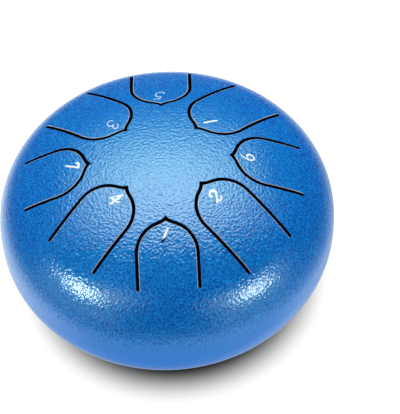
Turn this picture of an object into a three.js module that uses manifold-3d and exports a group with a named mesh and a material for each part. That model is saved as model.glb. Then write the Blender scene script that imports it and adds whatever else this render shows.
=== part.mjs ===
// Steel tongue drum: two pressed bowls welded rim to rim, eight tongues cut out of the crown,
// a sound hole in the base and four screwed-on rubber feet.
// Millimetres, +Z up, origin on the floor below the drum's axis, tongue 1 towards -Y.

import * as THREE from 'three';
import { mergeVertices } from 'three/addons/utils/BufferGeometryUtils.js';
import Module from 'manifold-3d';

const wasm = await Module();
wasm.setup();

// Shells
const DRUM_DIAMETER = 250;
const SHEET = 2;
const CROWN_RADIUS = 196;
const SHOULDER_RADIUS = 50;
const UPPER_SKIRT = 3.5;
const LOWER_SKIRT = 3.5;
const BASE_CORNER_RADIUS = 57;
const SOUND_HOLE_DIAMETER = 70;
const WELD_WIDTH = 5;
const WELD_HEIGHT = 1.2;

// Tongues: the outline is the middle of the slot, whose outer edge runs on by the nib at the tip's point;
// a setback runs from the drum's edge in to a root
const TONGUE_WIDTH = 44;
const SLOT_WIDTH = 2.4;
const SLOT_NIB = 1.4;
const TIP_POINT_RISE = 2;
const TIP_POINT_WIDTH = 14;
const TIP_POINT_NECK = 4;
const NOTE_1_LENGTH = 46.5;
const NOTE_1_SETBACK = 24;
const NOTE_2_LENGTH = 65.5;
const NOTE_2_SETBACK = 21;
const NOTE_3_LENGTH = 63;
const NOTE_3_SETBACK = 23.5;
const NOTE_4_LENGTH = 59;
const NOTE_4_SETBACK = 27;
const NOTE_5_LENGTH = 49.5;
const NOTE_5_SETBACK = 22.5;
const NOTE_6_LENGTH = 50.5;
const NOTE_6_SETBACK = 24;
const NOTE_7_LENGTH = 48;
const NOTE_7_SETBACK = 22;
const HIGH_NOTE_LENGTH = 66;
const HIGH_NOTE_SETBACK = 23;

// The tongues in their order round the crown, counter-clockwise from the player's side
const TONGUES = [
  { name: 'tongue_1', length: NOTE_1_LENGTH, setback: NOTE_1_SETBACK },
  { name: 'tongue_2', length: NOTE_2_LENGTH, setback: NOTE_2_SETBACK },
  { name: 'tongue_6', length: NOTE_6_LENGTH, setback: NOTE_6_SETBACK },
  { name: 'tongue_1_high', length: HIGH_NOTE_LENGTH, setback: HIGH_NOTE_SETBACK },
  { name: 'tongue_5', length: NOTE_5_LENGTH, setback: NOTE_5_SETBACK },
  { name: 'tongue_3', length: NOTE_3_LENGTH, setback: NOTE_3_SETBACK },
  { name: 'tongue_7', length: NOTE_7_LENGTH, setback: NOTE_7_SETBACK },
  { name: 'tongue_4', length: NOTE_4_LENGTH, setback: NOTE_4_SETBACK },
];

// Feet and their fasteners
const FOOT_COUNT = 4;
const FOOT_TOP_DIAMETER = 22;
const FOOT_BOTTOM_DIAMETER = 18;
const FOOT_HEIGHT = 10;
const FOOT_WEB = 4;
const FOOT_EDGE = 1;
const SCREW_DIAMETER = 4;
const SCREW_HEAD_DIAMETER = 7.5;
const SCREW_HEAD_HEIGHT = 2.4;
const SCREW_STICKOUT = 1.5;
const CROSS_RECESS_LENGTH = 4;
const CROSS_RECESS_WIDTH = 0.9;
const CROSS_RECESS_DEPTH = 1.2;
const WASHER_MARGIN = 1.25;
const WASHER_THICKNESS = 0.8;
const NUT_ACROSS_FLATS = 7;
const NUT_HEIGHT = 3.2;

// Clearances
const ROOT_GAP = 0.3;
const WELD_GAP = 0.3;
const SEAT_GAP = 0.05;
const SCREW_CLEARANCE = 0.3;
const WASHER_CLEARANCE = 0.5;

// Facets
const SHELL_SEGMENTS = 64;
const SMALL_SEGMENTS = 16;
const SHELL_ARC_STEPS = 4;
const SMALL_ARC_STEPS = 2;
const OUTLINE_STEPS = 6;

// Levels and radii that follow from the sizes above
const drumRadius = DRUM_DIAMETER / 2;
const baseFlatRadius = drumRadius - BASE_CORNER_RADIUS;
const soundHoleRadius = SOUND_HOLE_DIAMETER / 2;
const baseBottom = FOOT_HEIGHT + SEAT_GAP;
const baseCornerLevel = baseBottom + BASE_CORNER_RADIUS;
const seamLevel = baseCornerLevel + LOWER_SKIRT;
const shoulderLevel = seamLevel + SEAT_GAP + UPPER_SKIRT;
const shoulderCentre = drumRadius - SHOULDER_RADIUS;
const crownAngle = Math.acos(shoulderCentre / (CROWN_RADIUS - SHOULDER_RADIUS));
const crownLevel = shoulderLevel - (CROWN_RADIUS - SHOULDER_RADIUS) * Math.sin(crownAngle);
const crownTop = crownLevel + CROWN_RADIUS;
const footCircleRadius = (soundHoleRadius + baseFlatRadius) / 2;
const washerRadius = SCREW_HEAD_DIAMETER / 2 + WASHER_MARGIN;
const boreRadius = SCREW_DIAMETER / 2 + SCREW_CLEARANCE;

// Finishes
const bluePaint = new THREE.MeshStandardMaterial({ color: 0x1c6cc0, roughness: 0.3, metalness: 0.35 });
const blackRubber = new THREE.MeshStandardMaterial({ color: 0x1b1b1d, roughness: 0.85, metalness: 0 });
const zincSteel = new THREE.MeshStandardMaterial({ color: 0xb4b8bc, roughness: 0.35, metalness: 1 });

// A profile in radius and height, turned about the vertical axis
function revolve(profile, segments, arcSteps) {
  const geometry = new THREE.LatheGeometry(profile.getPoints(arcSteps), segments);
  return geometry.rotateX(Math.PI / 2);
}

// A flat outline pushed up from one level to another
function prism(outline, bottom, top) {
  const settings = { depth: top - bottom, bevelEnabled: false, curveSegments: OUTLINE_STEPS };
  return new THREE.ExtrudeGeometry(outline, settings).translate(0, 0, bottom);
}

// A closed geometry as a solid that can be cut
function toSolid(geometry) {
  const bare = geometry.clone();
  bare.deleteAttribute('normal');
  bare.deleteAttribute('uv');
  const welded = mergeVertices(bare);
  const corners = welded.index.array;
  const triangles = [];
  for (let i = 0; i < corners.length; i += 3) {
    const [a, b, c] = [corners[i], corners[i + 1], corners[i + 2]];
    if (a !== b && b !== c && c !== a) triangles.push(a, b, c);
  }
  const vertProperties = new Float32Array(welded.attributes.position.array);
  const triVerts = new Uint32Array(triangles);
  return new wasm.Manifold(new wasm.Mesh({ numProp: 3, vertProperties, triVerts }));
}

// A cut solid as a geometry again
function toGeometry(solid) {
  const mesh = solid.getMesh();
  const geometry = new THREE.BufferGeometry();
  geometry.setAttribute('position', new THREE.BufferAttribute(mesh.vertProperties, 3));
  geometry.setIndex(new THREE.BufferAttribute(mesh.triVerts, 1));
  geometry.computeVertexNormals();
  return geometry;
}

function piece(name, geometry, material) {
  const mesh = new THREE.Mesh(geometry, material);
  mesh.name = name;
  return mesh;
}

// The upper bowl's section: crown, shoulder and a short upright skirt, one sheet thick
function upperProfile() {
  const rim = seamLevel + SEAT_GAP;
  const profile = new THREE.Path();
  profile.moveTo(0, crownTop - SHEET);
  profile.absarc(0, crownLevel, CROWN_RADIUS - SHEET, Math.PI / 2, crownAngle, true);
  profile.absarc(shoulderCentre, shoulderLevel, SHOULDER_RADIUS - SHEET, crownAngle, 0, true);
  profile.lineTo(drumRadius - SHEET, rim);
  profile.lineTo(drumRadius, rim);
  profile.absarc(shoulderCentre, shoulderLevel, SHOULDER_RADIUS, 0, crownAngle, false);
  profile.absarc(0, crownLevel, CROWN_RADIUS, crownAngle, Math.PI / 2, false);
  return profile;
}

// The lower bowl's section: skirt, rounded corner and flat base up to the sound hole
function lowerProfile() {
  const profile = new THREE.Path();
  profile.moveTo(soundHoleRadius, baseBottom);
  profile.lineTo(baseFlatRadius, baseBottom);
  profile.absarc(baseFlatRadius, baseCornerLevel, BASE_CORNER_RADIUS, -Math.PI / 2, 0, false);
  profile.lineTo(drumRadius, seamLevel);
  profile.lineTo(drumRadius - SHEET, seamLevel);
  profile.lineTo(drumRadius - SHEET, baseCornerLevel);
  profile.absarc(baseFlatRadius, baseCornerLevel, BASE_CORNER_RADIUS - SHEET, 0, -Math.PI / 2, true);
  profile.lineTo(soundHoleRadius, baseBottom + SHEET);
  profile.closePath();
  return profile;
}

// A tongue's outline along +X: straight sides, a round end and a small drawn-out point to the axis
function tongueOutline(tongue, offset, rootGap, nib) {
  const halfWidth = TONGUE_WIDTH / 2 + offset;
  const rootLine = drumRadius - tongue.setback;
  const root = rootLine - rootGap;
  const end = rootLine - tongue.length - offset;
  const tip = end - nib;
  const centre = end + TIP_POINT_RISE + halfWidth;
  const pointAngle = Math.asin(TIP_POINT_WIDTH / 2 / halfWidth);
  const neck = TIP_POINT_NECK / 2;
  const pointStart = centre - halfWidth * Math.cos(pointAngle);
  const neckLevel = pointStart - (TIP_POINT_WIDTH / 2 - neck) * Math.tan(pointAngle);
  const outline = new THREE.Shape();
  outline.moveTo(root, -halfWidth);
  outline.lineTo(root, halfWidth);
  outline.lineTo(centre, halfWidth);
  outline.absarc(centre, 0, halfWidth, Math.PI / 2, Math.PI - pointAngle, false);
  outline.quadraticCurveTo(neckLevel, neck, tip, 0);
  outline.quadraticCurveTo(neckLevel, -neck, pointStart, -TIP_POINT_WIDTH / 2);
  outline.absarc(centre, 0, halfWidth, Math.PI + pointAngle, Math.PI * 1.5, false);
  outline.closePath();
  return outline;
}

// A tongue's outline as a cutter through the crown, turned to its place round the axis
function tongueCutter(tongue, place, offset, rootGap, nib) {
  const cutter = prism(tongueOutline(tongue, offset, rootGap, nib), seamLevel, crownTop + SHEET);
  return toSolid(cutter.rotateZ(-Math.PI / 2 + (place * 2 * Math.PI) / TONGUES.length));
}

// The upper bowl and the tongues cut from the same sheet
function makeCrown() {
  const sheet = toSolid(revolve(upperProfile(), SHELL_SEGMENTS, SHELL_ARC_STEPS));
  const group = new THREE.Group();
  let shell = sheet;
  TONGUES.forEach((tongue, place) => {
    shell = shell.subtract(tongueCutter(tongue, place, SLOT_WIDTH / 2, 0, SLOT_NIB));
    const blade = sheet.intersect(tongueCutter(tongue, place, -SLOT_WIDTH / 2, ROOT_GAP, 0));
    group.add(piece(tongue.name, toGeometry(blade), bluePaint));
  });
  group.add(piece('upper_shell', toGeometry(shell), bluePaint));
  return group;
}

// A place on the circle of feet, for a piece that is made on the axis
function footPlace(index) {
  const angle = Math.PI / FOOT_COUNT + (index * 2 * Math.PI) / FOOT_COUNT;
  return new THREE.Vector3(footCircleRadius * Math.cos(angle), footCircleRadius * Math.sin(angle), 0);
}

function makeLowerShell() {
  let shell = toSolid(revolve(lowerProfile(), SHELL_SEGMENTS, SHELL_ARC_STEPS));
  for (let i = 0; i < FOOT_COUNT; i++) {
    const drill = new THREE.CylinderGeometry(boreRadius, boreRadius, 4 * SHEET, SMALL_SEGMENTS);
    const place = footPlace(i);
    drill.rotateX(Math.PI / 2).translate(place.x, place.y, baseBottom);
    shell = shell.subtract(toSolid(drill));
  }
  return piece('lower_shell', toGeometry(shell), bluePaint);
}

// The weld bead left inside the seam: flat against the wall and domed towards the air space
function makeSeamWeld() {
  const wall = drumRadius - SHEET - WELD_GAP;
  const half = WELD_WIDTH / 2;
  const bead = new THREE.Path();
  bead.moveTo(wall, seamLevel - half);
  bead.lineTo(wall, seamLevel + half);
  bead.quadraticCurveTo(wall - 2 * WELD_HEIGHT, seamLevel, wall, seamLevel - half);
  return piece('seam_weld', revolve(bead, SHELL_SEGMENTS, SHELL_ARC_STEPS), zincSteel);
}

// A tapered rubber bumper with a stepped bore for its screw
function makeFoot(index) {
  const recess = washerRadius + WASHER_CLEARANCE;
  const ceiling = FOOT_HEIGHT - FOOT_WEB;
  const bottom = FOOT_BOTTOM_DIAMETER / 2;
  const top = FOOT_TOP_DIAMETER / 2;
  const profile = new THREE.Path();
  profile.moveTo(recess, 0);
  profile.lineTo(bottom - FOOT_EDGE, 0);
  profile.quadraticCurveTo(bottom, 0, bottom, FOOT_EDGE);
  profile.lineTo(top, FOOT_HEIGHT - FOOT_EDGE);
  profile.quadraticCurveTo(top, FOOT_HEIGHT, top - FOOT_EDGE, FOOT_HEIGHT);
  profile.lineTo(boreRadius, FOOT_HEIGHT);
  profile.lineTo(boreRadius, ceiling);
  profile.lineTo(recess, ceiling);
  profile.closePath();
  return piece(`foot_${index + 1}`, revolve(profile, SMALL_SEGMENTS, SMALL_ARC_STEPS), blackRubber);
}

// The steel washer on the recess's ceiling
function makeWasher(index) {
  const top = FOOT_HEIGHT - FOOT_WEB - SEAT_GAP;
  const profile = new THREE.Path();
  profile.moveTo(boreRadius, top - WASHER_THICKNESS);
  profile.lineTo(washerRadius, top - WASHER_THICKNESS);
  profile.lineTo(washerRadius, top);
  profile.lineTo(boreRadius, top);
  profile.closePath();
  return piece(`foot_washer_${index + 1}`, revolve(profile, SMALL_SEGMENTS, SMALL_ARC_STEPS), zincSteel);
}

// The pan-head screw, head down, with a cross recess
function makeScrew(index) {
  const seat = FOOT_HEIGHT - FOOT_WEB - WASHER_THICKNESS - 2 * SEAT_GAP;
  const underside = seat - SCREW_HEAD_HEIGHT;
  const end = baseBottom + SHEET + SEAT_GAP + NUT_HEIGHT + SCREW_STICKOUT;
  const head = SCREW_HEAD_DIAMETER / 2;
  const shank = SCREW_DIAMETER / 2;
  const profile = new THREE.Path();
  profile.moveTo(0, underside);
  profile.quadraticCurveTo(head, underside, head, seat);
  profile.lineTo(shank, seat);
  profile.lineTo(shank, end);
  profile.lineTo(0, end);
  let screw = toSolid(revolve(profile, SMALL_SEGMENTS, SMALL_ARC_STEPS));
  for (const turn of [0, Math.PI / 2]) {
    const slot = new THREE.BoxGeometry(CROSS_RECESS_LENGTH, CROSS_RECESS_WIDTH, 2 * CROSS_RECESS_DEPTH);
    screw = screw.subtract(toSolid(slot.rotateZ(turn).translate(0, 0, underside)));
  }
  return piece(`foot_screw_${index + 1}`, toGeometry(screw), zincSteel);
}

// The hexagon nut on the inner face of the base
function makeNut(index) {
  const outline = new THREE.Shape();
  const corner = NUT_ACROSS_FLATS / 2 / Math.cos(Math.PI / 6);
  for (let side = 0; side < 6; side++) {
    const angle = (side * Math.PI) / 3;
    const step = side === 0 ? 'moveTo' : 'lineTo';
    outline[step](corner * Math.cos(angle), corner * Math.sin(angle));
  }
  outline.closePath();
  const bore = new THREE.Path();
  bore.absarc(0, 0, boreRadius, 0, 2 * Math.PI, true);
  outline.holes.push(bore);
  const bottom = baseBottom + SHEET + SEAT_GAP;
  return piece(`foot_nut_${index + 1}`, prism(outline, bottom, bottom + NUT_HEIGHT), zincSteel);
}

// One foot with its fastener, moved to its place on the base
function makeFootSet(index) {
  const group = new THREE.Group();
  group.add(makeFoot(index), makeWasher(index), makeScrew(index), makeNut(index));
  group.position.copy(footPlace(index));
  return group;
}

const drum = new THREE.Group();
drum.add(makeCrown(), makeLowerShell(), makeSeamWeld());
for (let i = 0; i < FOOT_COUNT; i++) drum.add(makeFootSet(i));

export default drum;
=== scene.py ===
"""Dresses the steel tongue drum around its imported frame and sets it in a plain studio.

The crown is one pressed sheet with eight U-shaped slots, so it is meshed once in plan, lifted onto the
drum's section, and parted where each tongue leaves the shell. All sizes are in metres in the row frame.
"""

import logging
import math
from collections.abc import Sequence
from dataclasses import dataclass
from enum import Enum
from typing import Any

import bpy
import numpy as np
from mathutils import Matrix, Vector
from mathutils.geometry import delaunay_2d_cdt


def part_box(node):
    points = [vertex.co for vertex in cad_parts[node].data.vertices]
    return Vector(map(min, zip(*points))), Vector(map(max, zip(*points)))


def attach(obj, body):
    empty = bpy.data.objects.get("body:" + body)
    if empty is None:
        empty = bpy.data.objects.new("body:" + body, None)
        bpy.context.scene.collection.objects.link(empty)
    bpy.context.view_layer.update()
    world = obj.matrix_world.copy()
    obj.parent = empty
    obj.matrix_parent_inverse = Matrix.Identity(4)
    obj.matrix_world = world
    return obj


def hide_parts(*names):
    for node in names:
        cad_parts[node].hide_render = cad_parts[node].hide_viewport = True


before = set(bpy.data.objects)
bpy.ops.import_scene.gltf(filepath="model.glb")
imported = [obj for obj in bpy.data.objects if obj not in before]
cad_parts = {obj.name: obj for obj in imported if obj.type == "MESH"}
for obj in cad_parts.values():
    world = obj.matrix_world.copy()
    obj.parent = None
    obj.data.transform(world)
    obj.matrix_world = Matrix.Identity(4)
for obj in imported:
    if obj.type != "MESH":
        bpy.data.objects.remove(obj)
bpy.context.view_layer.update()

LOG = logging.getLogger("tongue_drum")
MM = 0.001
TINY = 1e-9
DRUM_BODY = "drum"

Pair = tuple[float, float]
Triple = tuple[float, float, float]
Colour = Triple
Ramp = tuple[Pair, ...]


class Ink(Enum):
    """The numbers' colours and the black mark past the 1's foot, as places in a number's list of finishes."""

    WHITE = 0
    FAINT = 1
    BLACK = 2


class Coat(Enum):
    """The coats of the sheet metal, as places in a shell's list of finishes."""

    PAINT = 0
    # Near-black primer inside and on the slot walls: painted shade.
    PAINTED_SHADE = 1
    # Pale paint on the tongues' rounded lips: thinned paint and a painted highlight.
    EDGE = 2


class FinishSlot(Enum):
    """Names of material slots, passed to mount along with each dressed piece."""

    PAINT = "blue_paint"
    PRINT = "number_print"
    RUBBER = "black_rubber"


class Socket:
    """A shader socket in a Python expression: each operator adds the Math node that works it out."""

    def __init__(self, sheet: "NodeSheet", link: bpy.types.NodeSocket | None) -> None:
        """Wraps link, an output of a node in sheet, or None where the node has none."""
        self.sheet = sheet
        self.link = link

    def __add__(self, other: "Operand") -> "Socket":
        """self + other"""
        return self.sheet.math("ADD", self, other)

    def __radd__(self, other: "Operand") -> "Socket":
        """other + self"""
        return self.sheet.math("ADD", other, self)

    def __sub__(self, other: "Operand") -> "Socket":
        """self - other"""
        return self.sheet.math("SUBTRACT", self, other)

    def __rsub__(self, other: "Operand") -> "Socket":
        """other - self"""
        return self.sheet.math("SUBTRACT", other, self)

    def __mul__(self, other: "Operand") -> "Socket":
        """self * other"""
        return self.sheet.math("MULTIPLY", self, other)

    def __rmul__(self, other: "Operand") -> "Socket":
        """other * self"""
        return self.sheet.math("MULTIPLY", other, self)


Operand = Socket | float


class NodeSheet:
    """The shader tree of one material, of a light or of the world."""

    def __init__(self, owner: bpy.types.Material | bpy.types.Light | bpy.types.World) -> None:
        """Clears the owner's tree.

        Args:
            owner: what the tree belongs to.
        """
        self.owner = owner
        owner.use_nodes = True
        self.tree = owner.node_tree
        self.tree.nodes.clear()

    @classmethod
    def of_material(cls, name: str) -> "NodeSheet":
        """The empty tree of a new material."""
        return cls(bpy.data.materials.new(name))

    def add(
        self,
        kind: str,
        settings: dict[str, Any] | None = None,
        inputs: dict[str, Any] | None = None,
        output: str | None = None,
    ) -> Socket:
        """Adds a node.

        Args:
            kind: the node's type.
            settings: its own properties, set first; "stops" are a ramp's places and greys.
            inputs: numbers, colours or sockets, by the identifier of the input that they go to.
            output: the identifier of the output to use, or None for the first.

        Returns:
            That output, ready for an expression.
        """
        node = self.tree.nodes.new(kind)
        for name, value in (settings or {}).items():
            if name == "stops":
                self._set_stops(node.color_ramp, value)
            else:
                setattr(node, name, value)
        for name, value in (inputs or {}).items():
            socket = next(s for s in node.inputs if s.identifier == name)
            if isinstance(value, Socket):
                self.tree.links.new(value.link, socket)
            elif socket.type == "RGBA":
                socket.default_value = (*value, 1.0)
            else:
                socket.default_value = value
        return Socket(self, next((s for s in node.outputs if output in (None, s.identifier)), None))

    @staticmethod
    def _set_stops(ramp: bpy.types.ColorRamp, stops: Sequence[Pair]) -> None:
        """Gives a ramp its stops.

        Args:
            ramp: the ramp of a node.
            stops: pairs of place and brightness.
        """
        while len(ramp.elements) < len(stops):
            ramp.elements.new(1.0)
        for element, (place, grey) in zip(ramp.elements, stops):
            element.position = place
            element.color = (grey, grey, grey, 1.0)

    def math(self, operation: str, left: Operand, right: Operand) -> Socket:
        """A Math node on two values."""
        return self.add("ShaderNodeMath", {"operation": operation}, {"Value": left, "Value_001": right})

    def vectors(self, operation: str, first: Any, second: Any, output: str | None = None) -> Socket:
        """A Vector Math node on two vectors, with the output to use."""
        inputs = {"Vector": first, "Vector_001": second}
        return self.add("ShaderNodeVectorMath", {"operation": operation}, inputs, output)

    def part(self, vector: Socket, axis: str) -> Socket:
        """The X, Y or Z part of a vector."""
        return self.add("ShaderNodeSeparateXYZ", None, {"Vector": vector}, axis)

    def mix(self, share: Operand, first: Any, second: Any) -> Socket:
        """The colour between first and second, by share."""
        inputs = {"Factor_Float": share, "A_Color": first, "B_Color": second}
        return self.add("ShaderNodeMix", {"data_type": "RGBA"}, inputs, "Result_Color")

    def place(self) -> Socket:
        """The point on the piece in its own frame, in metres."""
        return self.add("ShaderNodeTexCoord", output="Object")

    def noise(self, grain: float, layers: float = 1.0) -> Socket:
        """Cloudy noise from 0 to 1, with lumps of a size in metres and a number of finer layers."""
        inputs = {"Vector": self.place(), "Scale": 1.0 / grain, "Detail": layers}
        return self.add("ShaderNodeTexNoise", None, inputs, "Fac")

    def ramp(self, value: Socket, stops: Sequence[Pair]) -> Socket:
        """value sent through a ramp of grey stops."""
        return self.add("ShaderNodeValToRGB", {"stops": stops}, {"Fac": value})

    def step(self, value: Socket, start: float, end: float, low: float = 0.0) -> Socket:
        """A smooth rise from low, where value is at start, up to 1, where it is at end."""
        inputs = {"Value": value, "From Min": start, "From Max": end, "To Min": low}
        return self.add("ShaderNodeMapRange", {"interpolation_type": "SMOOTHSTEP"}, inputs)

    def bump(self, height: Operand, relief: float) -> Socket:
        """The normal of a surface whose height is given in shares of its relief, in metres."""
        return self.add("ShaderNodeBump", None, {"Height": height, "Distance": relief})

    def shade(self, **inputs: Any) -> Socket:
        """A Principled shader; its inputs have underscores for the spaces in their names."""
        named = {name.replace("_", " "): value for name, value in inputs.items()}
        return self.add("ShaderNodeBsdfPrincipled", None, named)

    def close(self, shader: Socket) -> bpy.types.Material:
        """Ends the tree in a shader and gives the finished material."""
        self.add("ShaderNodeOutputMaterial", None, {"Surface": shader})
        return self.owner


@dataclass(frozen=True)
class HammerSkin:
    """The rippled skin of hammer-finish enamel: deep on the crown, calmer on the shoulder and the bowl.

    Over calm_levels the ripple rises from calm_share of the shoulder's depth, and over crown_levels from
    shoulder_share of the crown's.
    """

    ripple: float = 1.9 * MM
    relief: float = 0.67 * MM
    calm_levels: Pair = (66 * MM, 86 * MM)
    calm_share: float = 0.2
    crown_levels: Pair = (122 * MM, 140 * MM)
    shoulder_share: float = 0.52

    def height(self, sheet: NodeSheet) -> Socket:
        """How high the skin rises, in shares of its relief."""
        return self.depth(sheet) * sheet.noise(self.ripple)

    def depth(self, sheet: NodeSheet) -> Socket:
        """How deep the ripple is, as a share of the crown's."""
        shoulder = self.shoulder_share + (1.0 - self.shoulder_share) * self.crown(sheet)
        return shoulder * self.bowl(sheet)

    def bowl(self, sheet: NodeSheet) -> Socket:
        """How far a point has come up from the calm bowl, as a share."""
        return sheet.step(self._level(sheet), *self.calm_levels, self.calm_share)

    def crown(self, sheet: NodeSheet) -> Socket:
        """How far up the crown a point lies, as a share."""
        return sheet.step(self._level(sheet), *self.crown_levels)

    @staticmethod
    def _level(sheet: NodeSheet) -> Socket:
        """The height of a point above the floor."""
        return sheet.part(sheet.place(), "Z")


@dataclass(frozen=True)
class HammerPaint:
    """Glossy blue enamel with a rippled skin and flecks of two blues, over fine sea-green flakes.

    The flecks run from dark to light over fleck_reach of their noise, and plain is the share of light
    between them. They fade into it on the bowl as the ripple does, and on the crown by crown_plain.
    """

    skin: HammerSkin
    dark_fleck: Colour = (0.002, 0.068, 0.51)
    light_fleck: Colour = (0.008, 0.262, 0.88)
    fleck: float = 1.3 * MM
    fleck_reach: Pair = (0.35, 0.65)
    plain: float = 0.5
    crown_plain: float = 0.6
    shine: float = 1.0
    sheen_tint: Colour = (0.82, 0.95, 0.88)
    bend: float = 1.55
    haze: float = 3.2 * MM
    gloss: float = 0.07
    gloss_spread: float = 0.05
    flake: Colour = (0.02, 0.38, 0.31)
    flake_blur: float = 0.5
    flake_share: float = 0.14

    def make(self) -> bpy.types.Material:
        """Mixes the paint.

        Returns:
            The paint as a material.
        """
        sheet = NodeSheet.of_material("hammer_blue_enamel")
        normal = sheet.bump(self.skin.height(sheet), self.skin.relief)
        mottle = self.skin.bowl(sheet) * (1.0 - self.crown_plain * self.skin.crown(sheet))
        flecks = sheet.step(sheet.noise(self.fleck), *self.fleck_reach)
        light = self.plain + mottle * (flecks - self.plain)
        enamel = sheet.shade(
            Base_Color=sheet.mix(light, self.dark_fleck, self.light_fleck),
            Specular_IOR_Level=self.shine,
            Specular_Tint=self.sheen_tint,
            IOR=self.bend,
            Roughness=self.gloss + self.gloss_spread * sheet.noise(self.haze),
            Normal=normal,
        )
        flakes = sheet.shade(Base_Color=self.flake, Metallic=1.0, Roughness=self.flake_blur, Normal=normal)
        layers = {"Fac": self.flake_share, "Shader": enamel, "Shader_001": flakes}
        return sheet.close(sheet.add("ShaderNodeMixShader", None, layers))


@dataclass(frozen=True)
class NumberInk:
    """Screen-printed ink that lies on the rippled skin, fills it in part, and is thin in small spots."""

    skin: HammerSkin
    name: str
    full: Colour
    thin: Colour
    shine: float = 0.5
    filled: float = 0.35
    spot: float = 0.9 * MM
    layers: float = 2.0
    cover: Ramp = ((0.25, 0.0), (0.45, 1.0))
    matt: float = 0.38

    def make(self) -> bpy.types.Material:
        """Mixes the ink.

        Returns:
            The ink as a material.
        """
        sheet = NodeSheet.of_material(self.name)
        cover = sheet.ramp(sheet.noise(self.spot, self.layers), self.cover)
        shader = sheet.shade(
            Base_Color=sheet.mix(cover, self.thin, self.full),
            Roughness=self.matt,
            Specular_IOR_Level=self.shine,
            Normal=sheet.bump(self.skin.height(sheet), self.filled * self.skin.relief),
        )
        return sheet.close(shader)


@dataclass(frozen=True)
class CloudyFinish:
    """A finish that drifts between two colours in soft clouds, with a fine grain where it has relief."""

    name: str
    low: Colour
    high: Colour
    cloud: float
    matt: float
    matt_spread: float = 0.0
    layers: float = 3.0
    metal: float = 0.0
    shine: float = 0.5
    grain: float = 0.5 * MM
    grain_layers: float = 1.0
    relief: float = 0.0

    def make(self) -> bpy.types.Material:
        """Mixes the finish.

        Returns:
            The finish as a material.
        """
        sheet = NodeSheet.of_material(self.name)
        cloud = sheet.noise(self.cloud, self.layers)
        inputs: dict[str, Operand] = {"Roughness": self.matt}
        if self.matt_spread:
            inputs["Roughness"] = self.matt + self.matt_spread * cloud
        if self.relief:
            inputs["Normal"] = sheet.bump(self.height(sheet, cloud), self.relief)
        colour = sheet.mix(cloud, self.low, self.high)
        shader = sheet.shade(Base_Color=colour, Metallic=self.metal, Specular_IOR_Level=self.shine, **inputs)
        return sheet.close(shader)

    def height(self, sheet: NodeSheet, cloud: Socket) -> Socket:
        """How high the grain rises, in shares of its relief; cloud is the drift of the colours."""
        return sheet.noise(self.grain, self.grain_layers)


@dataclass(frozen=True)
class PaleEdgeHighlight(CloudyFinish):
    """Pale, dull paint on a tongue's rounded edge, thinned there and pale as a painted highlight along the
    lip.
    """

    name: str = "tongue_edge_painted_highlight"
    low: Colour = (0.30, 0.45, 0.72)
    high: Colour = (0.53, 0.56, 0.68)
    cloud: float = 6 * MM
    layers: float = 2.0
    matt: float = 0.35


@dataclass(frozen=True)
class PaintedShadePrimer(CloudyFinish):
    """Dull, near-black primer inside the drum, its slot walls and its sound hole: painted shade."""

    name: str = "painted_shade_primer"
    low: Colour = (0.0008, 0.0010, 0.003)
    high: Colour = (0.002, 0.003, 0.008)
    cloud: float = 5 * MM
    matt: float = 0.7
    matt_spread: float = 0.15
    shine: float = 0.0


@dataclass(frozen=True)
class FootRubber(CloudyFinish):
    """Moulded black rubber with a fine grain and a dusty bloom."""

    name: str = "moulded_rubber"
    low: Colour = (0.010, 0.010, 0.011)
    high: Colour = (0.034, 0.034, 0.036)
    cloud: float = 6 * MM
    matt: float = 0.62
    matt_spread: float = 0.2
    grain: float = 0.45 * MM
    grain_layers: float = 2.0
    relief: float = 0.05 * MM


@dataclass(frozen=True)
class ZincPlate(CloudyFinish):
    """Bright zinc plate with a faint crystal cloud, on the screws, washers and nuts."""

    name: str = "zinc_plate"
    low: Colour = (0.44, 0.45, 0.46)
    high: Colour = (0.66, 0.67, 0.68)
    cloud: float = 1.4 * MM
    matt: float = 0.26
    matt_spread: float = 0.2
    metal: float = 1.0
    grain: float = 0.25 * MM
    relief: float = 0.012 * MM


@dataclass(frozen=True)
class WeldBead(CloudyFinish):
    """Bare weld metal with the ripples of the torch's run and a brown heat tint."""

    name: str = "weld_bead_steel"
    low: Colour = (0.16, 0.12, 0.11)
    high: Colour = (0.34, 0.33, 0.32)
    cloud: float = 9 * MM
    matt: float = 0.36
    matt_spread: float = 0.25
    metal: float = 1.0
    relief: float = 0.25 * MM
    ripples: float = 420.0
    ripple_share: float = 0.5

    def height(self, sheet: NodeSheet, cloud: Socket) -> Socket:
        """How high the bead's ripples and clouds rise.

        Args:
            sheet: the bead's shader tree.
            cloud: the drift of its colours.

        Returns:
            The height, in shares of its relief.
        """
        place = sheet.place()
        turn = sheet.math("ARCTAN2", sheet.part(place, "Y"), sheet.part(place, "X"))
        return self.ripple_share * sheet.math("SINE", self.ripples * turn, 0.0) + cloud


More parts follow.
